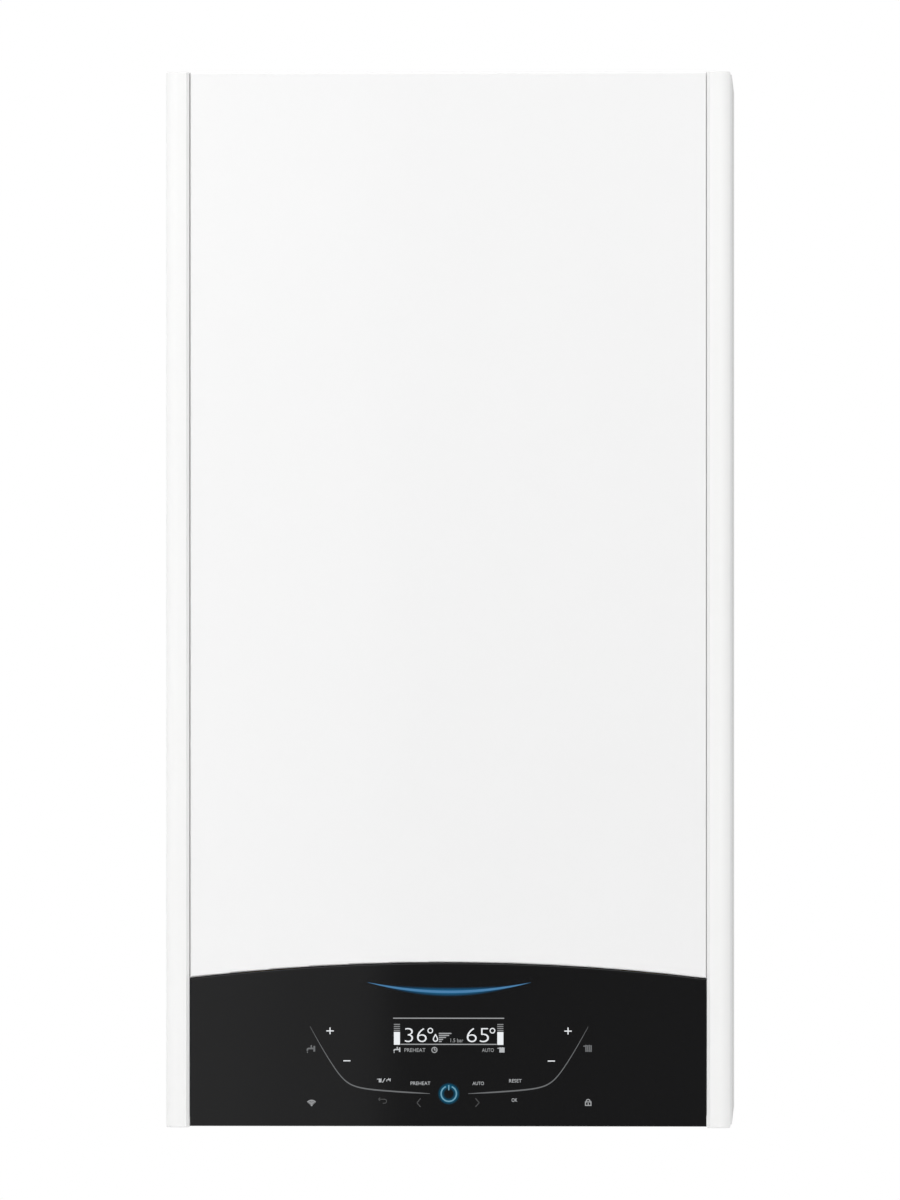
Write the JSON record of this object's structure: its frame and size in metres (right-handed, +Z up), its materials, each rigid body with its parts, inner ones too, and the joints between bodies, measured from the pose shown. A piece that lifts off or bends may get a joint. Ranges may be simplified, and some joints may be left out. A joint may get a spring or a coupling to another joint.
{
  "type": "combi boiler",
  "caption": "Wall-hung condensing combi boiler: white casing with corner trims and pull-off door, black glass control panel that tilts forward, burner, fan, pump and pipework inside.",
  "frame": {"origin": "on the wall plane, in the middle of the wall bracket's two screw holes, 690 mm above the casing's bottom edge", "axes": "+X to the right seen from the front, +Y into the wall (the front faces -Y), +Z up"},
  "size_m": [0.4, 0.319, 0.745],
  "materials": {
    "casing_white": "smooth gloss white enamel",
    "trim_white": "gloss white moulding",
    "zinc_steel": "zinc-coated sheet, faint spangle",
    "bright_steel": "bright plated fastener",
    "grey_rubber": "foam rubber, dull",
    "black_rubber": "dull black",
    "black_glass": "polished black glass, printed behind",
    "black_plastic": "fine moulded texture",
    "grey_plastic": "moulded grey",
    "display_plastic": "dark display, lit figures",
    "circuit_board": "green resist with parts",
    "stainless_steel": "rolled stainless",
    "cast_aluminium": "sand-cast and machined",
    "steel_pipe": "grey coated steel tube",
    "white_ceramic": "glazed insulator",
    "brass": "cast and turned brass",
    "copper": "drawn copper tube",
    "red_plastic": "moulded red",
    "blue_plastic": "moulded blue",
    "black_paint": "semi-matt black paint",
    "vessel_paint": "red lacquer"
  },
  "bodies": {
    "frame": {"air_cover": "black_plastic", "air_silencer": "black_plastic", "air_vent": "brass", "back_plate": "zinc_steel", "bottom_plate": "zinc_steel", "burner": "stainless_steel", "burner_door": "cast_aluminium", "casing_screws": "bright_steel", "condensate_hose": "grey_rubber", "condensate_trap": "grey_plastic", "connection_tails": "brass", "diverter_motor": "grey_plastic", "door_pins": "bright_steel", "door_seal": "grey_rubber", "electrodes": "white_ceramic", "exchanger_brackets": "zinc_steel", "exchanger_coil": "stainless_steel", "exchanger_shell": "black_plastic", "expansion_vessel": "vessel_paint", "fan_housing": "cast_aluminium", "fan_motor": "black_plastic", "filling_tap": "brass", "flow_group": "brass", "flue_pipe": "grey_plastic", "flue_socket": "black_plastic", "gas_mixer": "cast_aluminium", "gas_pipes": "steel_pipe", "gas_valve": "cast_aluminium", "hinge_brackets": "zinc_steel", "hinge_pins": "bright_steel", "igniter": "black_plastic", "lower_cross_rail": "zinc_steel", "plate_exchanger": "stainless_steel", "pump_motor": "black_paint", "pump_volute": "grey_plastic", "relief_valve": "brass", "return_group": "brass", "side_panel_left": "casing_white", "side_panel_right": "casing_white", "side_trim_left": "trim_white", "side_trim_right": "trim_white", "top_plate": "zinc_steel", "upper_cross_rail": "zinc_steel", "wall_bracket": "zinc_steel", "water_pipes": "copper"},
    "door": {"front_door": "casing_white"},
    "control_panel": {"control_glass": "black_glass", "control_housing": "black_plastic", "display_module": "display_plastic", "touch_board": "circuit_board", "main_board": "circuit_board", "box_cover": "black_plastic", "cable_glands": "black_rubber"},
    "fan_wheel": {"fan_impeller": "cast_aluminium"},
    "pump_wheel": {"pump_rotor": "stainless_steel"},
    "diverter": {"diverter_spindle": "stainless_steel"},
    "relief_handle": {"relief_knob": "red_plastic"},
    "filling_handle": {"filling_knob": "blue_plastic"},
    "vent_top": {"vent_cap": "black_plastic"},
    "trap_bowl": {"trap_cup": "grey_plastic"}
  },
  "joints": [
    {"name": "door_pull", "type": "slide", "parent": "frame", "child": "door", "axis": [0, -1, 0], "range_m": [0, 0.45]},
    {"name": "control_tilt", "type": "hinge", "parent": "frame", "child": "control_panel", "pos_m": [0, -0.268, -0.675], "axis": [1, 0, 0], "range_deg": [0, 90]},
    {"name": "fan_spin", "type": "hinge", "parent": "frame", "child": "fan_wheel", "pos_m": [-0.1, -0.248, -0.058], "axis": [0, -1, 0], "continuous": true},
    {"name": "pump_spin", "type": "hinge", "parent": "frame", "child": "pump_wheel", "pos_m": [0.134, -0.15, -0.512], "axis": [0, -1, 0], "continuous": true},
    {"name": "diverter_stroke", "type": "slide", "parent": "frame", "child": "diverter", "axis": [0, -1, 0], "range_m": [0, 0.008]},
    {"name": "relief_turn", "type": "hinge", "parent": "frame", "child": "relief_handle", "pos_m": [-0.1005, -0.2, -0.61], "axis": [0, -1, 0], "range_deg": [0, 90]},
    {"name": "filling_turn", "type": "hinge", "parent": "frame", "child": "filling_handle", "pos_m": [0.1005, -0.15, -0.672], "axis": [0, 0, 1], "range_deg": [0, 90]},
    {"name": "vent_turn", "type": "hinge", "parent": "frame", "child": "vent_top", "pos_m": [0.152, -0.15, -0.42], "axis": [0, 0, 1], "range_deg": [0, 360]},
    {"name": "cup_pull", "type": "slide", "parent": "frame", "child": "trap_bowl", "axis": [0, 0, -1], "range_m": [0, 0.1]}
  ]
}
